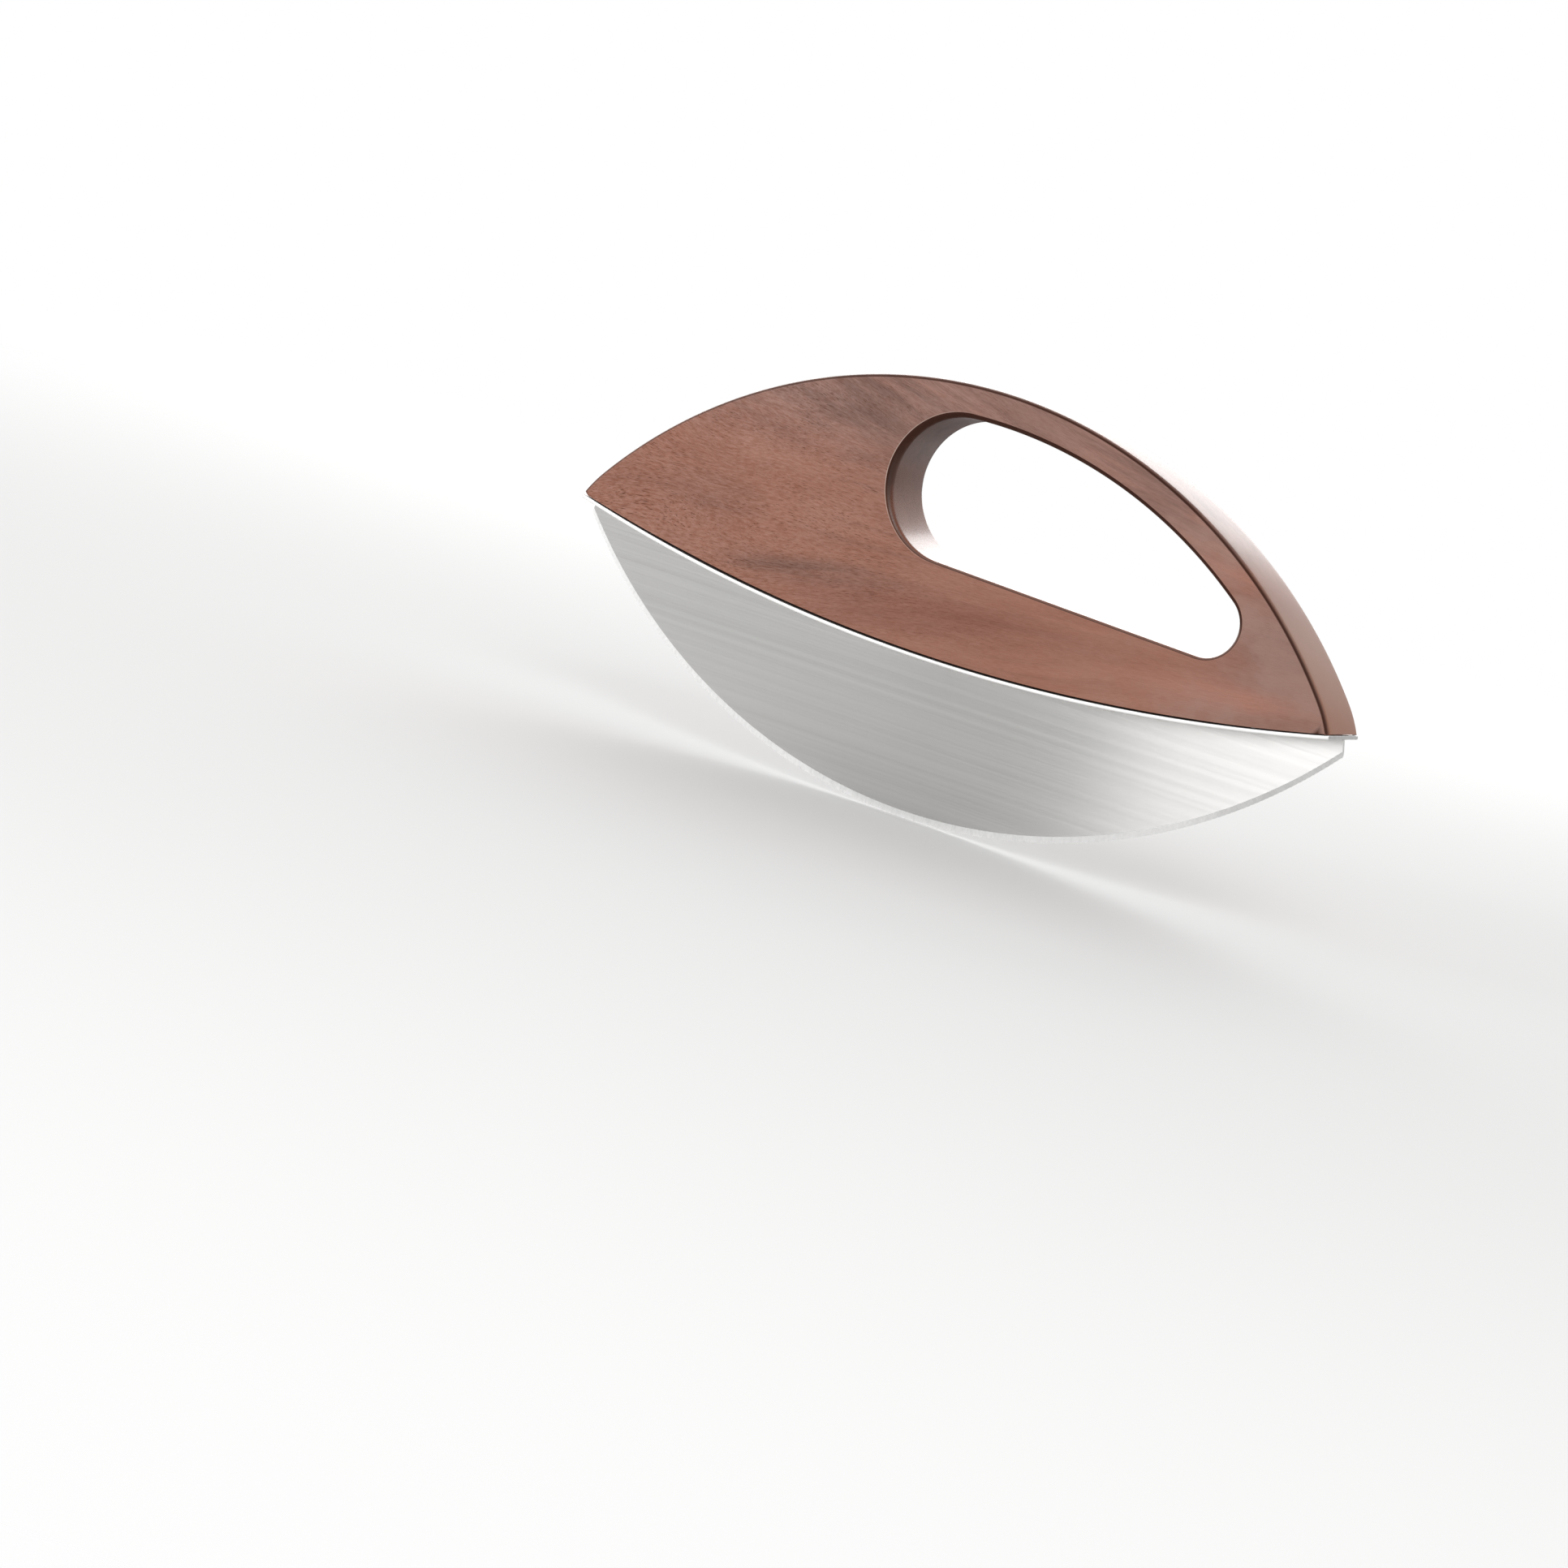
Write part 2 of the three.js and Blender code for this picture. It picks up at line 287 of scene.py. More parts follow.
# Steel
STEEL_LINE_TONE = (0.955, 1.04)
STEEL_BROAD_SHARE = 0.2
STEEL_BROAD_TONE = (-0.04, 0.04)
STEEL_CLOUD_SCALE = (14, 14, 14)
STEEL_CLOUD_TONE = (-0.02, 0.02)
STEEL_GLOSS_SPREAD = (0.88, 1.14)
STEEL_LINE_HEIGHT = 0.00005
CUT_FACING = (0.25, 0.7)
# Where the painted shade at the bevel's right end begins and is full
END_SHADE_ALONG = (0.085, 0.112)
BRUSH_MAP_SCALE = 10

# Floor and room
FLOOR_COLOUR = (0.8, 0.798, 0.794, 1)
FLOOR_SIZE = 12.0
FLOOR_FADE = (0.3, 1.1)
ROOM_COLOUR = (1, 1, 1, 1)
ROOM_TONE = (0.5, 1.0)
ROOM_RUN = (-0.1, 0.72)
WINDOW_SIDE = Vector((-0.7, 0.6, 0.4)).normalized()

# Area lamps: name, place, width and height, and power
LAMP_AIM = (0, 0, 0.07)
LAMPS = [
    ("window", (-0.5, 1.1, 0.52), (1.0, 0.9), 8.2),
    ("right_card", (-0.26, -1.25, 0.25), (0.34, 0.5), 1.66),
    ("soft_card", (-0.75, -1.25, 0.25), (0.3, 0.5), 0.14),
    ("left_card", (-0.95, -0.95, 0.25), (0.22, 0.5), 3.5),
    ("fill", (0.6, -1.0, 0.9), (0.8, 0.8), 4.5),
]

# Camera, at the photograph's angle
AZIMUTH = math.radians(26.2)
ELEVATION = math.radians(8.3)
ROLL = math.radians(15.27)
TARGET = Vector((-0.04105, 0, -0.00237))
DISTANCE = 1.3803
FOCAL_PIXELS = 5500
FRAME_PIXELS = 1932
SENSOR = 36.0


# Numbers that follow from the sizes

def arc_radius(half_chord, rise):
    return (half_chord ** 2 + rise ** 2) / (2 * rise)


half_blade = BLADE_LENGTH / 2
edge_radius = arc_radius(half_blade, BLADE_DEPTH - BLADE_END_HEIGHT + SPINE_SAG)
spine_bottom = arc_radius(half_blade, SPINE_SAG)
spine_top = spine_bottom - SPINE_THICKNESS
spine_centre = BLADE_DEPTH + spine_bottom
spine_end = math.asin(half_blade / spine_bottom)
seat_radius = spine_top - SEAT_GAP
half_handle = half_blade - TIP_SETBACK
half_thick = HANDLE_THICKNESS / 2
seat_middle = spine_centre - seat_radius
seat_tip = spine_centre - math.sqrt(seat_radius ** 2 - half_handle ** 2)
crown_top = seat_middle + HANDLE_HEIGHT
crown_radius = arc_radius(half_handle, crown_top - seat_tip - TIP_HEIGHT)
crown_centre = crown_top - crown_radius
head_height = (HEAD_DIAMETER - SCREW_DIAMETER) / 2


def clamp(value):
    return min(1.0, max(0.0, value))


def lerp(a, b, t):
    return a + (b - a) * t


def stations(count, setback):
    """Even places along x, with the first and last set back from the blade's ends."""
    first = setback - half_blade
    pitch = (BLADE_LENGTH - 2 * setback) / (count - 1)
    return [first + i * pitch for i in range(count)]


def on_spine(radius, angle):
    """Point in side view on an arc round the spine's centre."""
    return radius * math.sin(angle), spine_centre - radius * math.cos(angle)


def on_edge(radius, angle):
    """Point in side view on an arc round the cutting edge's centre."""
    return radius * math.sin(angle), edge_radius - radius * math.cos(angle)


# Mesh helpers

def new_object(name, mesh):
    obj = bpy.data.objects.new(name, mesh)
    bpy.context.scene.collection.objects.link(obj)
    return obj


def plain_object(bm, name):
    """Object of a bmesh that is in metres."""
    mesh = bpy.data.meshes.new(name)
    bm.to_mesh(mesh)
    bm.free()
    return new_object(name, mesh)


def finish_object(bm, name, sharp_angle):
    """Closes a bmesh in millimetres into a smooth object in metres with sharp edges kept."""
    bmesh.ops.remove_doubles(bm, verts=bm.verts, dist=MERGE_DISTANCE)
    bmesh.ops.recalc_face_normals(bm, faces=bm.faces)
    bmesh.ops.scale(bm, vec=(MM, MM, MM), verts=bm.verts)
    obj = plain_object(bm, name)
    obj.data.shade_smooth()
    obj.data.set_sharp_from_angle(angle=math.radians(sharp_angle))
    return obj


def add_loop(bm, points):
    return [bm.verts.new(p) for p in points]


def bridge(bm, a, b, closed=True):
    """Quads between two rows of vertices of the same length."""
    count = len(a) if closed else len(a) - 1
    faces = []
    for i in range(count):
        j = (i + 1) % len(a)
        faces.append(bm.faces.new((a[i], a[j], b[j], b[i])))
    return faces


def skin(bm, loops):
    """Quads between each loop and the next."""
    for a, b in zip(loops, loops[1:]):
        bridge(bm, a, b)


def skin_closed(bm, loops):
    """Quads between each loop and the next, and a face at both ends."""
    skin(bm, loops)
    bm.faces.new(loops[0])
    bm.faces.new(loops[-1])


def loop_edges(bm, loop):
    edges = []
    for i, vert in enumerate(loop):
        other = loop[(i + 1) % len(loop)]
        edges.append(bm.edges.get((vert, other)) or bm.edges.new((vert, other)))
    return edges


def fill(bm, *loops):
    """Flat faces inside the first loop and outside the others."""
    edges = [edge for loop in loops for edge in loop_edges(bm, loop)]
    bmesh.ops.triangle_fill(bm, use_beauty=True, use_dissolve=False, edges=edges)


def cut(obj, cutters, sharp_angle):
    """Cuts other objects out of a mesh object and deletes them."""
    for cutter in cutters:
        modifier = obj.modifiers.new("cut", "BOOLEAN")
        modifier.operation = "DIFFERENCE"
        modifier.solver = "EXACT"
        modifier.object = cutter
    bpy.context.view_layer.update()
    graph = bpy.context.evaluated_depsgraph_get()
    whole = obj.data
    obj.data = bpy.data.meshes.new_from_object(obj.evaluated_get(graph))
    obj.modifiers.clear()
    bm = bmesh.new()
    bm.from_mesh(obj.data)
    bmesh.ops.dissolve_degenerate(bm, dist=SLIVER * MM, edges=bm.edges)
    bm.to_mesh(obj.data)
    bm.free()
    obj.data.set_sharp_from_angle(angle=math.radians(sharp_angle))
    bpy.data.meshes.remove(whole)
    for cutter in cutters:
        bpy.data.objects.remove(cutter)


def piece(obj, slot, *nodes):
    """Makes an object a piece of the knife in place of CAD nodes."""
    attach(obj, "root")
    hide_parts(*nodes)


# Handle

def outer_loop(crown_in, tip_in, seat_in):
    """Handle outline with its crown, tips and seat moved in by their own distances.

    The crown moves most at its right end, and curves down to its tips. The seat moves most on the left,
    and not at its ends. The left tip is undercut.
    """
    tip = half_handle - tip_in
    points = []
    for i in range(CROWN_STEPS + 1):
        t = i / CROWN_STEPS
        crown = crown_radius - crown_in * lerp(*CROWN_SPREAD, t)
        x = tip * math.cos(math.pi * t)
        drop = lerp(*TIP_DROP, t) * max(0.0, 1 - (tip - abs(x)) / TIP_RUN) ** 3
        points.append((x, crown_centre + math.sqrt(crown ** 2 - x ** 2) - drop))
    for i in range(SEAT_STEPS + 1):
        t = i / SEAT_STEPS
        x = lerp(TIP_UNDERCUT - tip, tip, t)
        fade = min(1.0, t / RELIEF_RUN, (1 - t) / RELIEF_RUN)
        seat = seat_radius - seat_in * lerp(*RELIEF_SPREAD, t) * fade
        points.append(on_spine(seat, math.asin(x / seat)))
    return points


def hole_end(x, shelf):
    """Centre height and radius of a rounded end that touches the grip bar and stands on its shelf."""
    reach = crown_radius - GRIP_BAR
    low = seat_middle + shelf - crown_centre
    radius = (reach ** 2 - x ** 2 - low ** 2) / (2 * (low + reach))
    return crown_centre + low + radius, radius


def hole_points():
    """Finger hole outline as points with the directions that lead into the wood."""
    bulb_x, nose_x = -BULB_OFFSET, half_handle - NOSE_SETBACK
    bulb_z, bulb_r = hole_end(bulb_x, BULB_SHELF)
    nose_z, nose_r = hole_end(nose_x, NOSE_SHELF)
    bulb_turn = math.atan2(bulb_z - crown_centre, bulb_x)
    nose_turn = math.atan2(nose_z - crown_centre, nose_x)
    slant = math.atan2(nose_z - bulb_z, nose_x - bulb_x)
    span = math.hypot(nose_z - bulb_z, nose_x - bulb_x)
    lower = slant - math.acos((bulb_r - nose_r) / span)
    reach = crown_radius - GRIP_BAR
    runs = [
        (nose_x, nose_z, nose_r, lower, nose_turn),
        (0, crown_centre, reach, nose_turn, bulb_turn),
        (bulb_x, bulb_z, bulb_r, bulb_turn, lower + 2 * math.pi),
    ]
    points = []
    for x, z, radius, start, end in runs:
        count = max(2, round(radius * (end - start) / HOLE_STEP))
        for i in range(count):
            angle = lerp(start, end, i / count)
            out = (math.cos(angle), math.sin(angle))
            points.append((x + radius * out[0], z + radius * out[1], *out))
    down = (math.cos(lower), math.sin(lower))
    first = (bulb_x + bulb_r * down[0], bulb_z + bulb_r * down[1])
    last = points[0][:2]
    count = round(math.dist(first, last) / HOLE_STEP)
    for i in range(count):
        t = i / count
        points.append((lerp(first[0], last[0], t), lerp(first[1], last[1], t), *down))
    return points


def seat_relief(y):
    """How far the seat is cut back along its long edges, which leaves a shadow line over the strip."""
    if abs(y) <= half_thick - RELIEF_DEPTH:
        return 0.0
    over = min(SEAT_ROUND, max(0.0, abs(y) - (half_thick - SEAT_ROUND)))
    return RELIEF_HEIGHT + SEAT_ROUND - math.sqrt(SEAT_ROUND ** 2 - over ** 2)


def rim_profile(radius):
    """Rim of the hole from its wall to the face: steps into the wood and below the face."""
    last = math.pi / 2 - RIM_CREASE
    angles = [last * i / RIM_STEPS for i in range(RIM_STEPS)] + [last - CREASE_TURN, last]
    rows = [(radius * (1 - math.cos(a)), radius * (math.sin(last) - math.sin(a))) for a in angles]
    return rows + [(rows[-1][0] + CREASE_WIDTH * k, 0.0) for k in CREASE_ROWS]


def edge_tone(t):
    """Darkness across a rounded edge, partly dark edge colour and partly painted shade, from the crown at 0
    to the side at 1: most near the side.
    """
    return min(1.0, EDGE_PEAK * t ** 2 * (1 - t) ** EDGE_FALL)


def rim_tones(nx, nz, row):
    """Painted shade, polish and a painted crease highlight on a row of the hole's rim that leads into the
    wood along nx and nz.
    """
    left = max(0.0, -nx)
    low = clamp(-LOW_SLOPE * nz - LOW_START)
    # Painted shade: darker on the hole's top and left side, where less light falls
    shade = min(1.0, max(RIM_SHADE_LEAST, RIM_SHADE + RIM_SHADE_UP * nz + RIM_SHADE_LEFT * left))
    wall = lerp(*WALL_SHADE, left) * (1 - low) + WALL_SHADE_UP * max(0.0, nz)
    deep = min(1.0, RIM_RISE * row / (RIM_EDGE_ROW - 1)) ** lerp(*RIM_RISE_POWER, low)
    rim_dark_and_shade = shade * lerp(wall, 1.0, deep) * (row < RIM_EDGE_ROW)
    polish = clamp(POLISH_SIDE - POLISH_SLOPE * nz) * (row < RIM_EDGE_ROW - 2)
    # Painted highlight on the crease between rim and face, on the hole's left side
    crease_highlight = left if row in (RIM_EDGE_ROW, RIM_EDGE_ROW + 1) else 0.0
    return rim_dark_and_shade, polish, crease_highlight


def handle_rows():
    """Rows round the handle from front to rear: y, step in of crown and tips, step in of seat, darkness of
    the edge, partly painted shade.
    """
    half_rows = []
    for i in range(ROUND_STEPS + 1):
        angle = math.pi / 2 * i / ROUND_STEPS
        y = half_thick - OUTER_ROUND * (1 - math.sin(angle))
        inset = OUTER_ROUND * (1 - math.cos(angle))
        half_rows.append((y, inset, seat_relief(y), edge_tone(i / ROUND_STEPS)))
    face_seat_in = RELIEF_HEIGHT + SEAT_ROUND + FACE_SEAT_MARGIN
    half_rows.append((half_thick, OUTER_ROUND + FACE_MARGIN, face_seat_in, 0.0))
    flat = half_thick - OUTER_ROUND
    middle = [(flat * k / CROWN_ROWS, 0.0, 0.0, 0.0) for k in range(1 - CROWN_ROWS, CROWN_ROWS)]
    return [(-y, *rest) for y, *rest in reversed(half_rows)] + middle + half_rows


def outer_loops(bm, rim_dark_and_shade_layer):
    """Outside of the handle, with the darkness of its edges, partly painted shade, and a painted shadow all
    along its seat over the strip.
    """
    tips = (CROWN_STEPS + 1, CROWN_STEPS + SEAT_STEPS + 1)
    start, end = EDGE_LEFT_RUN
    loops = []
    for y, inset, seat_in, tone in handle_rows():
        crown_in = inset + CROWN_BARREL * (y / half_thick) ** 2
        loop = add_loop(bm, [(x, y, z) for x, z in outer_loop(crown_in, inset, seat_in)])
        for k, vert in enumerate(loop):
            # Crown rows: darker rounded edges, partly painted shade. Seat: painted shadow of the gap over
            # the strip, less at the tips.
            if k <= CROWN_STEPS:
                side = clamp((vert.co.x - start) / (end - start))
                vert[rim_dark_and_shade_layer] = tone * lerp(EDGE_LEFT_SHARE, 1.0, side)
            else:
                vert[rim_dark_and_shade_layer] = (EDGE_TIP_TONE if k in tips else 1.0) * (inset < OUTER_ROUND)
        loops.append(loop)
    skin(bm, loops)
    return loops


def rim_loops(bm, layers, points, side):
    """Rim of the finger hole on one side, from its wall to the face."""
    profiles = []
    for _, _, nx, nz in points:
        radius = RIM_RADIUS + RIM_EXTRA * max(0.0, -nx) - RIM_LESS * max(0.0, -nz)
        profiles.append(rim_profile(radius))
    loops = []
    for row in range(len(profiles[0])):
        loop = []
        for (x, z, nx, nz), profile in zip(points, profiles):
            into, below = profile[row]
            vert = bm.verts.new((x + nx * into, side * (half_thick - below), z + nz * into))
            for layer, tone in zip(layers, rim_tones(nx, nz, row)):
                vert[layer] = tone
            loop.append(vert)
        loops.append(loop)
    skin(bm, loops)
    return loops


def make_handle():
    """Wooden block with rounded edges, and with layers that tell where it is darker, partly with painted
    shade, where it is polished, and where a painted highlight lies along the hole's crease.
    """
    bm = bmesh.new()
    for name in ("rim_dark_and_shade", "polish", "crease_highlight"):
        bm.verts.layers.float.new(name)
    layers = [bm.verts.layers.float[name] for name in ("rim_dark_and_shade", "polish", "crease_highlight")]
    outer = outer_loops(bm, layers[0])
    points = hole_points()
    front = rim_loops(bm, layers, points, -1)
    rear = rim_loops(bm, layers, points, 1)
    bridge(bm, front[0], rear[0])
    fill(bm, outer[0], front[-1])
    fill(bm, outer[-1], rear[-1])
    return finish_object(bm, "handle_block", HANDLE_SHARP_ANGLE)


# Spine strip

def strip_half(inset):
    """Front half of the strip's flat outline, from its left end to its right end."""
    half_length = spine_bottom * spine_end - inset
    half_width = half_thick - inset
    corner = SPINE_CORNER - inset
    points = []
    for i in range(SPINE_CORNER_STEPS + 1):
        angle = math.pi / 2 * i / SPINE_CORNER_STEPS
        s = -half_length + corner * (1 - math.cos(angle))
        points.append((s, -half_width + corner * (1 - math.sin(angle))))
    right_end = [(-s, y) for s, y in reversed(points)]
    straight = half_length - corner
    for i in range(1, SPINE_STEPS):
        points.append((lerp(-straight, straight, i / SPINE_STEPS), -half_width))
    return points + right_end


def make_strip():
    """Curved strip with rounded edges and corners."""
    bm = bmesh.new()
    under = [(0.0, SPINE_ROUND + SPINE_MARGIN)]
    for i in reversed(range(SPINE_ROUND_STEPS + 1)):
        angle = math.pi / 2 * i / SPINE_ROUND_STEPS
        under.append((SPINE_ROUND * (1 - math.sin(angle)), SPINE_ROUND * (1 - math.cos(angle))))
    rows = under + [(SPINE_THICKNESS - up, inset) for up, inset in reversed(under)]

    loops = []
    for up, inset in rows:
        front = strip_half(inset)
        loop = []
        for s, y in front + [(s, -y) for s, y in reversed(front)]:
            x, z = on_spine(spine_bottom - up, s / spine_bottom)
            loop.append((x, y, z))
        loops.append(add_loop(bm, loop))
    skin(bm, loops)
    for loop in (loops[0], loops[-1]):
        count = len(loop) // 2
        bridge(bm, loop[:count], list(reversed(loop[count:])), closed=False)
    return finish_object(bm, "spine_band", SPINE_SHARP_ANGLE)


def tab_cutters():
    """Slots of the strip that take the blade's tabs."""
    size = (TAB_LENGTH + 2 * TAB_CLEARANCE, BLADE_THICKNESS + 2 * TAB_CLEARANCE, SLOT_HEIGHT)
    cutters = []
    for x in stations(TAB_COUNT, TAB_SETBACK):
        angle = math.asin(x / spine_bottom)
        px, pz = on_spine(spine_bottom - SPINE_THICKNESS / 2, angle)
        bm = bmesh.new()
        bmesh.ops.create_cube(bm, size=1.0)
        bmesh.ops.scale(bm, vec=[s * MM for s in size], verts=bm.verts)
        bm.transform(Matrix.Translation((px * MM, 0, pz * MM)) @ Matrix.Rotation(-angle, 4, "Y"))
        cutters.append(plain_object(bm, "slot_cutter"))
    return cutters


# Blade

def blade_corner():
    """Lower right corner of the blade: its centre, and the angle at which the cutting edge runs into it."""
    end = Vector((math.sin(spine_end), -math.cos(spine_end)))
    inward = Vector((end.y, -end.x))
    start = Vector((0, spine_centre - edge_radius)) + inward * CORNER_RADIUS
    along = start.dot(end)
    reach = edge_radius - CORNER_RADIUS
    drop = math.sqrt(along ** 2 - start.length_squared + reach ** 2) - along
    centre = start + end * drop
    return (centre.x, centre.y + edge_radius), math.atan2(centre.x, -centre.y)


def bevel_end_run(corner, last_angle):
    """Outline from the end of the cutting edge round the corner to where the bevel runs out."""
    points = []
    for i in range(1, CORNER_STEPS + 1):
        angle = lerp(last_angle - math.pi / 2, spine_end, i / CORNER_STEPS)
        x = corner[0] + CORNER_RADIUS * math.cos(angle)
        points.append((x, corner[1] + CORNER_RADIUS * math.sin(angle)))
    low = Vector(points[-1])
    rise = Vector((-math.sin(spine_end), math.cos(spine_end)))
    from_centre = low - Vector((0, edge_radius))
    along = from_centre.dot(rise)
    shoulder = edge_radius - BEVEL_END
    length = -along - math.sqrt(along ** 2 - from_centre.length_squared + shoulder ** 2)
    steps = [length * i / BEVEL_END_STEPS for i in range(1, BEVEL_END_STEPS + 1)]
    return points + [tuple(low + rise * step) for step in steps]


def bevel_rows():
    """Right half of the bevel as rows of outline point, its half thickness, and shoulder point."""
    half = BLADE_THICKNESS / 2
    corner, last_angle = blade_corner()
    teeth = round(last_angle * edge_radius / TOOTH_PITCH)
    count = teeth * TOOTH_STEPS
    rows = []
    for i in range(count + 1):
        angle = last_angle * i / count
        phase = (i % TOOTH_STEPS) / TOOTH_STEPS
        gullet = 4 * phase * (1 - phase)
        bevel = lerp(BEVEL_MIDDLE, BEVEL_END, (i / count) ** 2) + TOOTH_SCALLOP * gullet
        thick = EDGE_LAND / 2 + TOOTH_RIDGE * (1 - gullet)
        edge = on_edge(edge_radius - TOOTH_DEPTH * gullet, angle)
        rows.append((edge, thick, on_edge(edge_radius - bevel, angle)))
    for x, z in bevel_end_run(corner, last_angle):
        up = edge_radius - math.hypot(x, z - edge_radius)
        thick = min(half, lerp(EDGE_LAND / 2 + TOOTH_RIDGE, half, up / BEVEL_END))
        shoulder = on_edge(edge_radius - BEVEL_END, math.atan2(x, edge_radius - z))
        rows.append(((x, z), thick, shoulder))
    return rows


def arc_run(radius, start, end):
    """Points after the first along an arc round the spine's centre."""
    count = max(1, math.ceil(abs(end - start) / TOP_STEP_ANGLE))
    return [on_spine(radius, lerp(start, end, i / count)) for i in range(1, count + 1)]


def blade_top():
    """Top of the blade with its tabs, from the right end to the left end."""
    top = spine_bottom + WELD_GAP
    half_tab = TAB_LENGTH / 2 / spine_bottom
    angle = spine_end
    run = [on_spine(top, angle)]
    for x in reversed(stations(TAB_COUNT, TAB_SETBACK)):
        middle = math.asin(x / spine_bottom)
        run += arc_run(top, angle, middle + half_tab)
        run += [on_spine(spine_top, middle + half_tab), on_spine(spine_top, middle - half_tab)]
        angle = middle - half_tab
        run.append(on_spine(top, angle))
    return run + arc_run(top, angle, -spine_end)


def make_blade():
    """Flat sheet with tabs along its top, and a ground bevel with fine teeth along its cutting edge."""
    bm = bmesh.new()
    half = BLADE_THICKNESS / 2
    right = bevel_rows()
    left = [((-x, z), thick, (-sx, sz)) for (x, z), thick, (sx, sz) in reversed(right[1:])]
    rows = left + right
    top_run = blade_top()

    perimeters = []
    for side in (-1, 1):
        shoulder = add_loop(bm, [(x, side * half, z) for _, _, (x, z) in rows])
        edge = add_loop(bm, [(x, side * thick, z) for (x, z), thick, _ in rows[1:-1]])
        rest = add_loop(bm, [(x, side * half, z) for x, z in top_run])
        bevel = bridge(bm, shoulder[1:-1], edge, closed=False)
        bevel.append(bm.faces.new((shoulder[0], shoulder[1], edge[0])))
        bevel.append(bm.faces.new((shoulder[-2], shoulder[-1], edge[-1])))
        for face in bevel:
            face.material_index = 1
        fill(bm, shoulder + rest)
        perimeters.append([shoulder[0]] + edge + [shoulder[-1]] + rest)
    bridge(bm, *perimeters)
    return finish_object(bm, "blade_sheet", BLADE_SHARP_ANGLE)


# Screws

def turns(sides):
    return [2 * math.pi * i / sides for i in range(sides)]


def ring(radius, z, sides):
    return [(radius * math.cos(a), radius * math.sin(a), z) for a in turns(sides)]


def thread_ring(z):
    """Ring of a screw's threaded part, which narrows to its point."""
    core = SCREW_DIAMETER / 2 - THREAD_DEPTH
    taper = min(1.0, (SCREW_LENGTH - z) / SCREW_POINT)
    points = []
    for a in turns(SCREW_SIDES):
        turn = (z / SCREW_PITCH - a / (2 * math.pi)) % 1.0
        ridge = max(0.0, 1 - abs(turn - 0.5) / THREAD_HALF_WIDTH)
        radius = max(SCREW_POINT_RADIUS, (core + THREAD_DEPTH * ridge) * taper)
        points.append((radius * math.cos(a), radius * math.sin(a), z))
    return points


def recess_cutter():
    """Tapered cross that is cut into a screw head."""
    bm = bmesh.new()
    span_end, width_end = RECESS_TAPER
    top = (-RECESS_ABOVE, RECESS_SPAN * RECESS_FLARE, RECESS_WIDTH * RECESS_FLARE)
    bottom = (RECESS_DEPTH, RECESS_SPAN * span_end, RECESS_WIDTH * width_end)
    loops = []
    for z, span, width in (top, bottom):
        x, y = span / 2, width / 2
        arm = [Vector((x, -y)), Vector((x, y)), Vector((y, y))]
        cross = []
        for turn in range(4):
            for point in arm:
                corner = Matrix.Rotation(turn * math.pi / 2, 2) @ point
                cross.append((corner.x, corner.y, z))
        loops.append(add_loop(bm, cross))
    skin_closed(bm, loops)
    return finish_object(bm, "recess_cutter", SCREW_SHARP_ANGLE)


def make_screw():
    """Mesh of a countersunk wood screw: head face at z = 0, point along +z."""
    bm = bmesh.new()
    head = HEAD_DIAMETER / 2
    neck = SCREW_DIAMETER / 2 * NECK_SHARE
    rows = [(head - step, z) for z, step in HEAD_EDGE]
    rows += [(neck, head_height), (neck, head_height + NECK_LENGTH)]
    loops = [add_loop(bm, ring(radius, z, SCREW_SIDES)) for radius, z in rows]
    first, last = head_height + THREAD_START, SCREW_LENGTH - SCREW_POINT_CUT
    for k in range(THREAD_STEPS + 1):
        loops.append(add_loop(bm, thread_ring(lerp(first, last, k / THREAD_STEPS))))
    skin_closed(bm, loops)
    pattern = finish_object(bm, "screw", SCREW_SHARP_ANGLE)
    cut(pattern, [recess_cutter()], SCREW_SHARP_ANGLE)
    mesh = pattern.data
    bpy.data.objects.remove(pattern)
    return mesh


def screw_places():
    """Name and place of each screw, on the strip's underside and square to it."""
    depth = (BLADE_THICKNESS + HANDLE_THICKNESS) / 4
    places = []
    for i, x in enumerate(stations(SCREW_STATIONS, SCREW_SETBACK)):
        angle = math.asin(x / spine_bottom)
        px, pz = on_spine(spine_bottom, angle)
        for side, y in (("front", -depth), ("rear", depth)):
            place = Matrix.Translation((px * MM, y * MM, pz * MM)) @ Matrix.Rotation(-angle, 4, "Y")
            places.append((f"screw_{i + 1}_{side}", place))
    return places


def screw_cutters():
    """Countersunk holes a little wider than the screws."""
    head = HEAD_DIAMETER / 2 + HEAD_CLEARANCE
    shank = SCREW_DIAMETER / 2 + SCREW_CLEARANCE
    rows = [(head + BORE_OUT, -BORE_OUT), (head, 0.0)]
    rows += [(shank, head_height - BORE_SINK_LESS), (shank, SCREW_LENGTH + BORE_OVER)]
    cutters = []
    for _, place in screw_places():
        bm = bmesh.new()
        skin_closed(bm, [add_loop(bm, ring(radius * MM, z * MM, BORE_SIDES)) for radius, z in rows])
        bmesh.ops.recalc_face_normals(bm, faces=bm.faces)
        bm.transform(place)
        cutters.append(plain_object(bm, "screw_cutter"))
    return cutters


# Materials

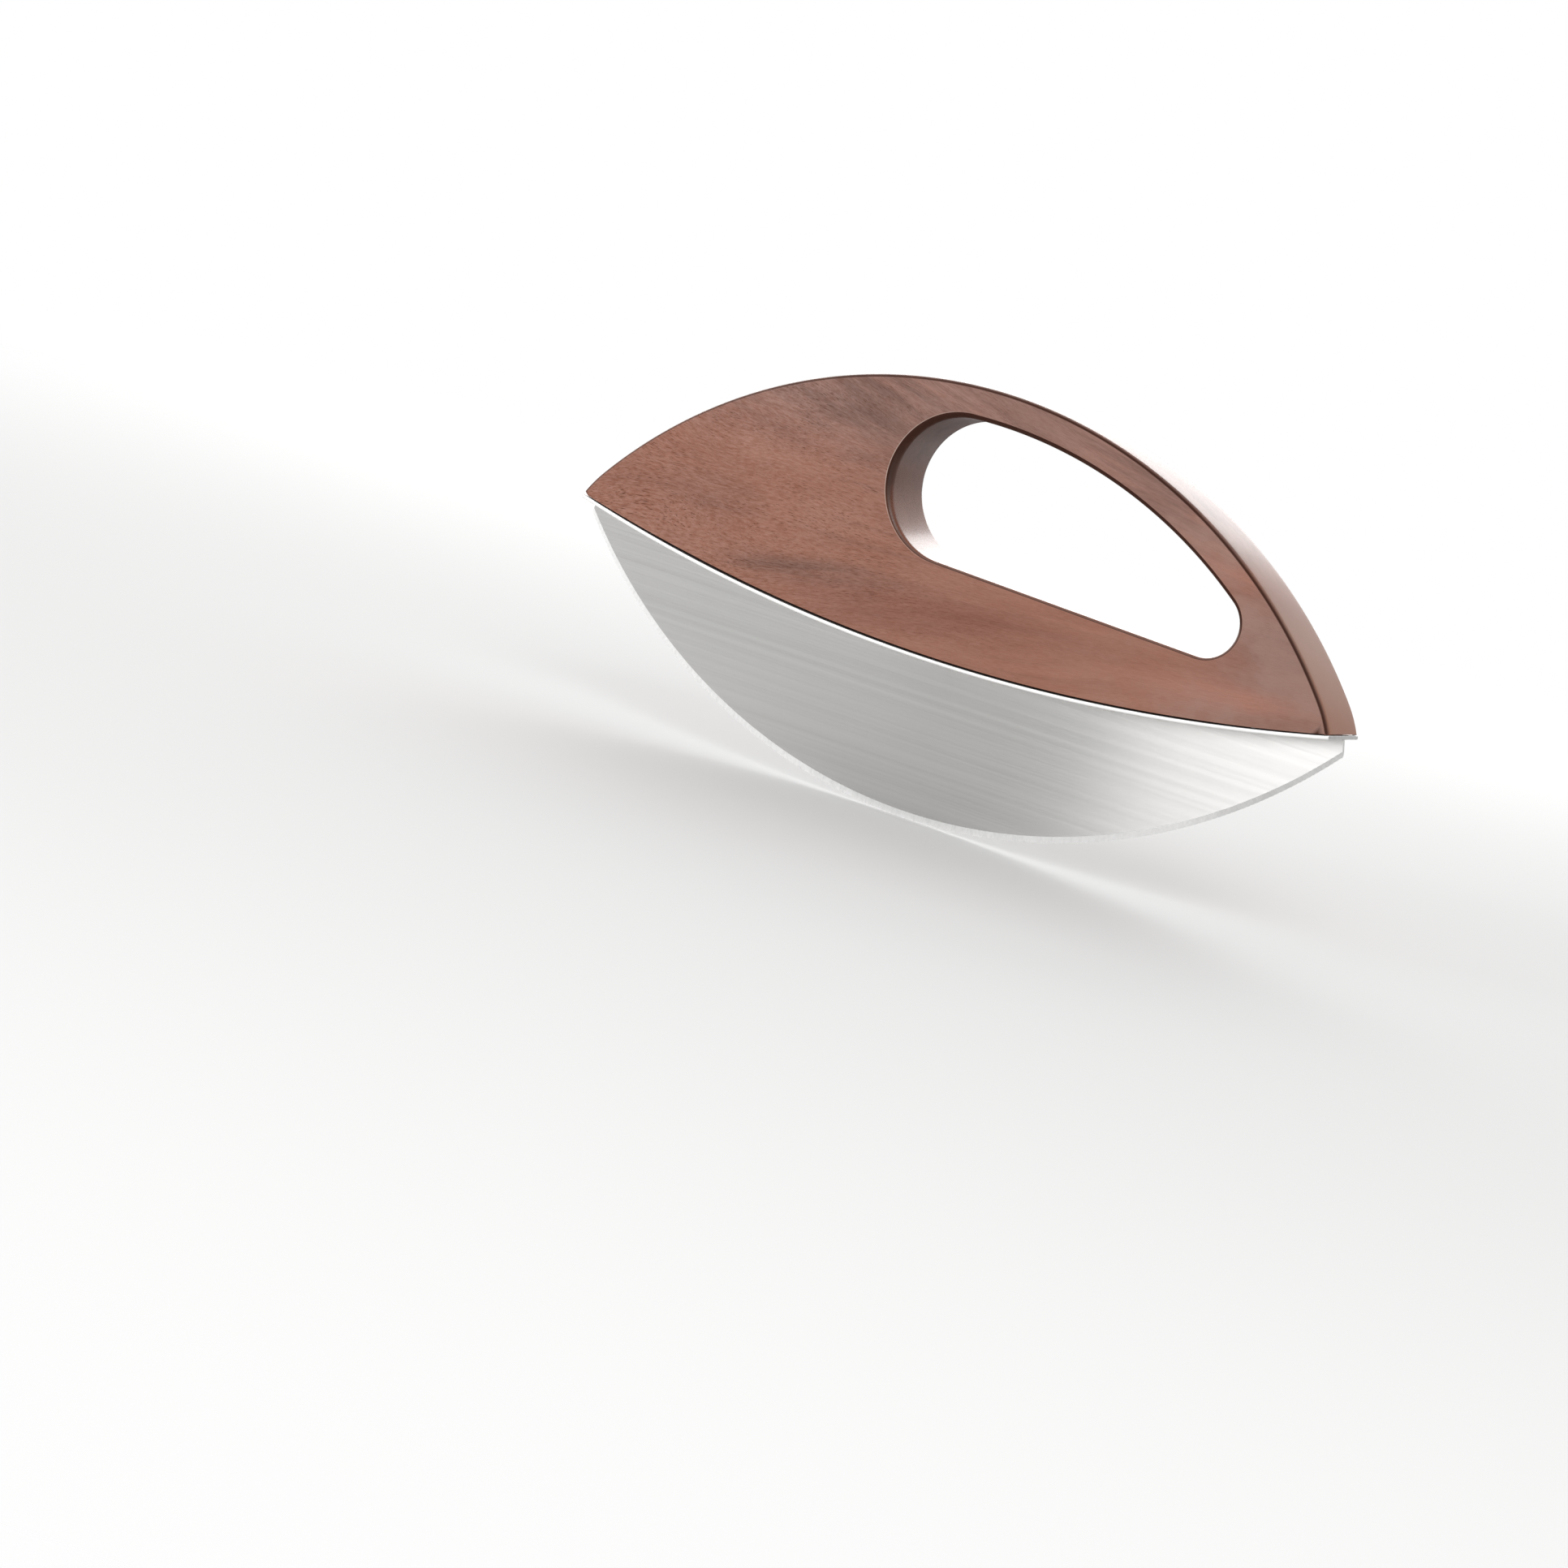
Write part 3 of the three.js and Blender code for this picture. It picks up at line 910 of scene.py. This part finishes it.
class Shader:
    """Builds the node tree of a material or world in few lines."""

    def __init__(self, owner):
        owner.use_nodes = True
        self.tree = owner.node_tree
        self.tree.nodes.clear()

    def add(self, kind, inputs=None, **settings):
        node = self.tree.nodes.new(kind)
        for key, value in settings.items():
            setattr(node, key, value)
        for key, value in (inputs or {}).items():
            self.put(node.inputs[key], value)
        return node

    def put(self, socket, value):
        if isinstance(value, bpy.types.NodeSocket):
            self.tree.links.new(value, socket)
        else:
            socket.default_value = value

    def math(self, operation, a, b=0.0, clamp=False):
        return self.add("ShaderNodeMath", {0: a, 1: b}, operation=operation, use_clamp=clamp).outputs[0]

    def plus(self, a, b):
        return self.math("ADD", a, b)

    def minus(self, a, b, clamp=False):
        return self.math("SUBTRACT", a, b, clamp)

    def times(self, a, b, clamp=False):
        return self.math("MULTIPLY", a, b, clamp)

    def over(self, a, b, clamp=False):
        return self.math("DIVIDE", a, b, clamp)

    def most(self, a, b):
        return self.math("MAXIMUM", a, b)

    def vector(self, operation, a, b=(0, 0, 0)):
        return self.add("ShaderNodeVectorMath", {0: a, 1: b}, operation=operation)

    def scaled(self, vector, scale):
        return self.vector("MULTIPLY", vector, scale).outputs[0]

    def split(self, vector):
        return self.add("ShaderNodeSeparateXYZ", {0: vector}).outputs

    def place(self):
        return self.add("ShaderNodeTexCoord").outputs["Object"]

    def normal(self):
        return self.add("ShaderNodeNewGeometry").outputs["Normal"]

    def attribute(self, name):
        return self.add("ShaderNodeAttribute", attribute_name=name).outputs["Fac"]

    def noise(self, vector, detail=2.0, roughness=0.5):
        inputs = {"Vector": vector, "Scale": 1.0, "Detail": detail, "Roughness": roughness}
        return self.add("ShaderNodeTexNoise", inputs).outputs["Fac"]

    def ramp(self, value, span, to=(0.0, 1.0)):
        """Smooth step from one pair of numbers to another."""
        inputs = {"Value": value, "From Min": span[0], "From Max": span[1], "To Min": to[0], "To Max": to[1]}
        return self.add("ShaderNodeMapRange", inputs, interpolation_type="SMOOTHSTEP").outputs["Result"]

    def mix(self, factor, a, b, blend="MIX"):
        node = self.add("ShaderNodeMix", data_type="RGBA", blend_type=blend)
        self.put(node.inputs["Factor"], factor)
        self.put(node.inputs[6], a)
        self.put(node.inputs[7], b)
        return node.outputs[2]

    def tinted(self, colour, value, powers=(1.0, 1.0, 1.0)):
        """Colour times a value, raised to a power of its own in red, green and blue."""
        parts = [value if power == 1.0 else self.math("POWER", value, power) for power in powers]
        tint = self.add("ShaderNodeCombineColor", dict(enumerate(parts))).outputs[0]
        return self.mix(1.0, colour, tint, "MULTIPLY")

    def bump(self, height, strength, distance, normal=None):
        inputs = {"Height": height, "Strength": strength, "Distance": distance}
        if normal is not None:
            inputs["Normal"] = normal
        return self.add("ShaderNodeBump", inputs).outputs["Normal"]

    def finish(self, shader, output="ShaderNodeOutputMaterial"):
        self.put(self.add(output).inputs["Surface"], shader)


def wood_grain(s, place, axes):
    """Coordinates along the fibres, which run along x and close up towards the right, and their level."""
    spread = s.math("EXPONENT", s.times(axes["X"], GRAIN_CLOSING))
    level = s.times(s.minus(axes["Z"], GRAIN_LEVEL), spread)
    sway = s.times(s.minus(s.noise(s.scaled(place, SWAY_SCALE)), 0.5), GRAIN_SWAY)
    level = s.plus(level, sway)
    depth = s.plus(axes["Y"], sway)
    return s.add("ShaderNodeCombineXYZ", {"X": axes["X"], "Y": depth, "Z": level}).outputs[0], level


def wood_ground(s, axes, grain):
    """Reddish brown that turns greyer towards the top and the right, with a figure along the top."""
    tone = s.ramp(s.noise(s.scaled(grain, TONE_SCALE), 6, 0.68), (0.28, 0.72))
    colour = s.mix(tone, WOOD_DEEP, WOOD_PALE)
    grey = s.most(s.ramp(axes["Z"], GREY_UP), s.ramp(axes["X"], GREY_ALONG, GREY_RIGHT_COVER))
    grey = s.times(grey, s.ramp(tone, (0.0, 1.0), GREY_COVER))
    colour = s.mix(grey, colour, WOOD_GREY)
    figure = s.noise(s.scaled(grain, FIGURE_SCALE), 5, 0.7)
    figure = s.times(s.ramp(figure, (0.3, 0.7), FIGURE_TONE), s.ramp(axes["Z"], FIGURE_UP))
    return s.tinted(colour, s.plus(1.0, figure), FIGURE_TINT)


def wood_streaks(s, colour, axes, grain, level):
    """Single broad streaks, broken up by clouds, and thin bands all over."""
    cloud = s.ramp(s.noise(s.scaled(grain, CLOUD_SCALE), 4, 0.65), (0.3, 0.7), CLOUD_COVER)
    for (x, length), (height, width), strength, shade in STREAKS:
        along = s.over(s.minus(axes["X"], x * MM), length * MM)
        across = s.over(s.minus(level, height * MM), width * MM)
        away = s.math("SQRT", s.plus(s.math("POWER", along, 2.0), s.math("POWER", across, 2.0)))
        dark = s.times(s.ramp(away, (1.0, 0.2)), cloud)
        colour = s.mix(s.times(dark, strength), colour, shade)
    bands = s.ramp(s.noise(s.scaled(grain, BAND_SCALE), 3, 0.6), (0.5, 0.8))
    return s.mix(s.times(bands, s.ramp(axes["X"], BAND_ALONG, BAND_COVER)), colour, WOOD_STREAK)


def wood_pores(s, grain):
    """Short dark dashes along the grain, in patches."""
    pores = 0.0
    for length, width, seed in PORES:
        cells = s.add("ShaderNodeTexVoronoi", {"Scale": 1.0})
        offset = s.vector("ADD", grain, (seed, seed, seed)).outputs[0]
        across = 1 / (width * MM)
        s.put(cells.inputs["Vector"], s.scaled(offset, (1 / (length * MM), across, across)))
        patch = s.noise(s.scaled(offset, PORE_PATCH_SCALE), 1)
        size = s.ramp(patch, (0.38, 0.68), PORE_SIZE)
        pore = s.minus(1.0, s.over(cells.outputs["Distance"], size, clamp=True))
        pores = s.most(pores, s.times(pore, PORE_DARKEN, clamp=True))
    return pores


def wood_material():
    """Dark reddish-brown wood with a satin oil finish."""
    material = bpy.data.materials.new("handle_wood")
    s = Shader(material)
    place = s.place()
    axes = s.split(place)
    grain, level = wood_grain(s, place, axes)
    colour = wood_streaks(s, wood_ground(s, axes, grain), axes, grain, level)

    fibre = s.ramp(s.noise(s.scaled(grain, FIBRE_SCALE), 4, 0.75), (0.3, 0.7), (-1.0, 1.0))
    fibre = s.times(fibre, s.ramp(axes["X"], FIBRE_ALONG, FIBRE_SHARE))
    colour = s.tinted(colour, s.plus(1.0, s.times(fibre, FIBRE_TONE)), FIBRE_TINT)
    blotch = s.ramp(s.noise(s.scaled(place, BLOTCH_SCALE), 4, 0.6), (0.38, 0.68))
    right = s.ramp(axes["X"], BLOTCH_ALONG)
    colour = s.mix(s.times(blotch, s.ramp(right, (0.0, 1.0), BLOTCH_COVER)), colour, WOOD_BLOTCH)

    rim_dark_and_shade, polish, crease_highlight = (s.attribute(name) for name in ("rim_dark_and_shade", "polish", "crease_highlight"))
    sides = s.ramp(s.math("ABSOLUTE", s.split(s.normal())["Y"]), SIDE_FACING)
    ends = s.minus(1.0, sides)
    pores = s.math("MINIMUM", sides, s.minus(1.0, rim_dark_and_shade, clamp=True))
    pores = s.times(s.times(wood_pores(s, grain), pores), s.ramp(axes["X"], PORE_ALONG, PORE_COVER))
    colour = s.mix(pores, colour, WOOD_PORE)
    # Darker rounded edges, partly painted shade; painted shade on the hole's rim and wall; painted shadow
    # along the seat
    colour = s.mix(s.times(rim_dark_and_shade, RIM_DARK_AND_SHADE_COVER), colour, WOOD_RIM_DARK_AND_SHADE)
    # Painted light: surfaces that do not face front or back turn paler towards the right end, where the
    # crown catches the light
    crown_light = s.times(s.ramp(axes["X"], CROWN_LIGHT_ALONG), ends)
    crown_light = s.times(crown_light, s.minus(CROWN_LIGHT_COVER, rim_dark_and_shade, clamp=True))
    colour = s.mix(crown_light, colour, WOOD_CROWN_LIGHT)
    # Painted highlight along the crease on the left of the hole
    colour = s.mix(s.times(crease_highlight, CREASE_HIGHLIGHT_COVER), colour, WOOD_CREASE_HIGHLIGHT)

    normal = s.bump(s.times(fibre, sides), *FIBRE_BUMP)
    normal = s.bump(s.minus(1.0, pores), *PORE_BUMP, normal)
    gloss = s.most(s.ramp(fibre, (-1.0, 1.0), WOOD_ROUGHNESS), s.ramp(rim_dark_and_shade, (0.5, 1.0), RIM_ROUGHNESS))
    gloss = s.minus(gloss, s.times(ends, CROWN_SMOOTHER))
    gloss = s.minus(gloss, s.times(polish, POLISH_SMOOTHER))
    dull = s.times(s.ramp(axes["X"], DULL_ALONG), ends)
    shine = s.most(s.ramp(rim_dark_and_shade, (0.4, 0.9), RIM_SHINE), polish)
    shine = s.times(shine, s.plus(1.0, s.times(s.times(fibre, sides), FIBRE_SHINE)))
    shine = s.times(shine, s.minus(1.0, s.times(pores, PORE_DULL)))
    shine = s.times(shine, s.minus(1.0, s.times(dull, END_DULL)))
    inputs = {"Base Color": colour, "Roughness": gloss, "Normal": normal, "Specular IOR Level": shine}
    s.finish(s.add("ShaderNodeBsdfPrincipled", inputs).outputs[0])
    return material


def steel_material(name, colour, roughness, brush, anisotropy, depth, cut_tone=1.0, end_shade=1.0):
    """Brushed stainless steel. The brush scale is small along the brush lines and large across them.

    Cut ends, which face along x, are darker by the cut tone, and the right end is darker by the last
    argument, a painted shade that stands in for a dimmer reflection.
    """
    material = bpy.data.materials.new(name)
    s = Shader(material)
    place = s.place()
    lines = s.noise(s.scaled(place, brush), 4, 0.65)
    broad = s.noise(s.scaled(place, [scale * STEEL_BROAD_SHARE for scale in brush]), 3, 0.6)
    cloud = s.noise(s.scaled(place, STEEL_CLOUD_SCALE))
    tone = s.ramp(lines, (0.25, 0.75), STEEL_LINE_TONE)
    tone = s.plus(tone, s.ramp(cloud, (0.3, 0.7), STEEL_CLOUD_TONE))
    tone = s.plus(tone, s.ramp(broad, (0.3, 0.7), STEEL_BROAD_TONE))
    if cut_tone < 1.0:
        facing = s.math("ABSOLUTE", s.split(s.normal())["X"])
        tone = s.times(tone, s.ramp(facing, CUT_FACING, (1.0, cut_tone)))
    if end_shade < 1.0:
        tone = s.times(tone, s.ramp(s.split(place)["X"], END_SHADE_ALONG, (1.0, end_shade)))
    inputs = {
        "Base Color": s.tinted((*colour, 1), tone),
        "Metallic": 1.0,
        "Roughness": s.ramp(lines, (0.2, 0.8), [roughness * share for share in STEEL_GLOSS_SPREAD]),
        "Normal": s.bump(lines, depth, STEEL_LINE_HEIGHT),
        "Anisotropic": anisotropy,
        "Tangent": s.add("ShaderNodeTangent", direction_type="UV_MAP", uv_map="brush").outputs[0],
    }
    s.finish(s.add("ShaderNodeBsdfPrincipled", inputs).outputs[0])
    return material


def brush_map(mesh):
    """UV map with u up and v along the length, so that gleams spread across the brush lines."""
    layer = mesh.uv_layers.new(name="brush")
    for loop in mesh.loops:
        point = mesh.vertices[loop.vertex_index].co * BRUSH_MAP_SCALE
        layer.data[loop.index].uv = (point.z, point.x + point.y)


def floor_material():
    """Pale floor that keeps the knife's shadow, fades out round it, and is clear from below."""
    material = bpy.data.materials.new("floor")
    s = Shader(material)
    reach = s.vector("LENGTH", s.place()).outputs["Value"]
    below = s.add("ShaderNodeNewGeometry").outputs["Backfacing"]
    far = s.most(s.ramp(reach, FLOOR_FADE), below)
    diffuse = s.add("ShaderNodeBsdfDiffuse", {"Color": FLOOR_COLOUR}).outputs[0]
    clear = s.add("ShaderNodeBsdfTransparent").outputs[0]
    s.finish(s.add("ShaderNodeMixShader", {0: far, 1: diffuse, 2: clear}).outputs[0])
    return material


# The knife

wood = wood_material()
blade_steel = steel_material("blade_steel", (0.63, 0.624, 0.615), 0.24, (14, 4200, 4200), 1.0, 0.05)
# The bevel is a paler copy of the blade's steel, a painted reflection, with painted shade at its right end
bevel_steel_lit = steel_material(
    "bevel_steel_lit", (0.98, 0.98, 0.975), 0.42, (2500, 2500, 60), 0.0, 0.08, end_shade=0.72)
spine_steel = steel_material(
    "spine_steel", (0.93, 0.925, 0.915), 0.42, (20, 3000, 3000), 0.0, 0.03, cut_tone=0.62)
screw_steel = steel_material("screw_steel", (0.8, 0.8, 0.79), 0.22, (900, 900, 900), 0.0, 0.03)

handle = make_handle()
strip = make_strip()
blade = make_blade()
cut(handle, screw_cutters(), HANDLE_SHARP_ANGLE)
cut(strip, screw_cutters() + tab_cutters(), SPINE_SHARP_ANGLE)

handle.data.materials.append(wood)
strip.data.materials.append(spine_steel)
blade.data.materials.append(blade_steel)
blade.data.materials.append(bevel_steel_lit)
brush_map(strip.data)
brush_map(blade.data)
piece(handle, "handle_wood", "handle")
piece(strip, "spine_steel", "spine_strip")
piece(blade, "blade_steel", "blade")

screw = make_screw()
screw.materials.append(screw_steel)
brush_map(screw)
for node, place in screw_places():
    turned = new_object(node + "_turned", screw)
    turned.matrix_world = place
    piece(turned, "screw_steel", node)


# Floor, light and camera

floor_grid = bmesh.new()
bmesh.ops.create_grid(floor_grid, x_segments=1, y_segments=1, size=FLOOR_SIZE / 2)
floor = plain_object(floor_grid, "floor")
floor.data.materials.append(floor_material())
floor.location.z = cad_box[0].z

for name, place, size, power in LAMPS:
    lamp_data = bpy.data.lights.new(name, "AREA")
    lamp_data.shape = "RECTANGLE"
    lamp_data.size, lamp_data.size_y = size
    lamp_data.energy = power
    lamp = new_object(name, lamp_data)
    lamp.location = place
    lamp.visible_camera = False
    lamp.rotation_euler = (Vector(LAMP_AIM) - Vector(place)).to_track_quat("-Z", "Y").to_euler()

# White room: full towards the window, lower on the other side
world = bpy.data.worlds.new("room")
bpy.context.scene.world = world
room = Shader(world)
direction = room.add("ShaderNodeTexCoord").outputs["Generated"]
facing = room.vector("DOT_PRODUCT", direction, WINDOW_SIDE).outputs["Value"]
strength = room.ramp(facing, ROOM_RUN, ROOM_TONE)
light = room.add("ShaderNodeBackground", {"Color": ROOM_COLOUR, "Strength": strength})
room.finish(light.outputs[0], "ShaderNodeOutputWorld")

back = Vector((
    math.sin(AZIMUTH) * math.cos(ELEVATION),
    -math.cos(AZIMUTH) * math.cos(ELEVATION),
    math.sin(ELEVATION),
))
level = Vector((math.cos(AZIMUTH), math.sin(AZIMUTH), 0))
above = back.cross(level)
right = level * math.cos(ROLL) + above * math.sin(ROLL)
up = above * math.cos(ROLL) - level * math.sin(ROLL)
camera_data = bpy.data.cameras.new("camera")
camera_data.sensor_width = SENSOR
camera_data.lens = FOCAL_PIXELS / FRAME_PIXELS * SENSOR
camera = new_object("camera", camera_data)
turn = Matrix((right, up, back)).transposed().to_4x4()
camera.matrix_world = Matrix.Translation(TARGET + back * DISTANCE) @ turn
bpy.context.scene.camera = camera
bpy.context.scene.view_settings.view_transform = "Standard"
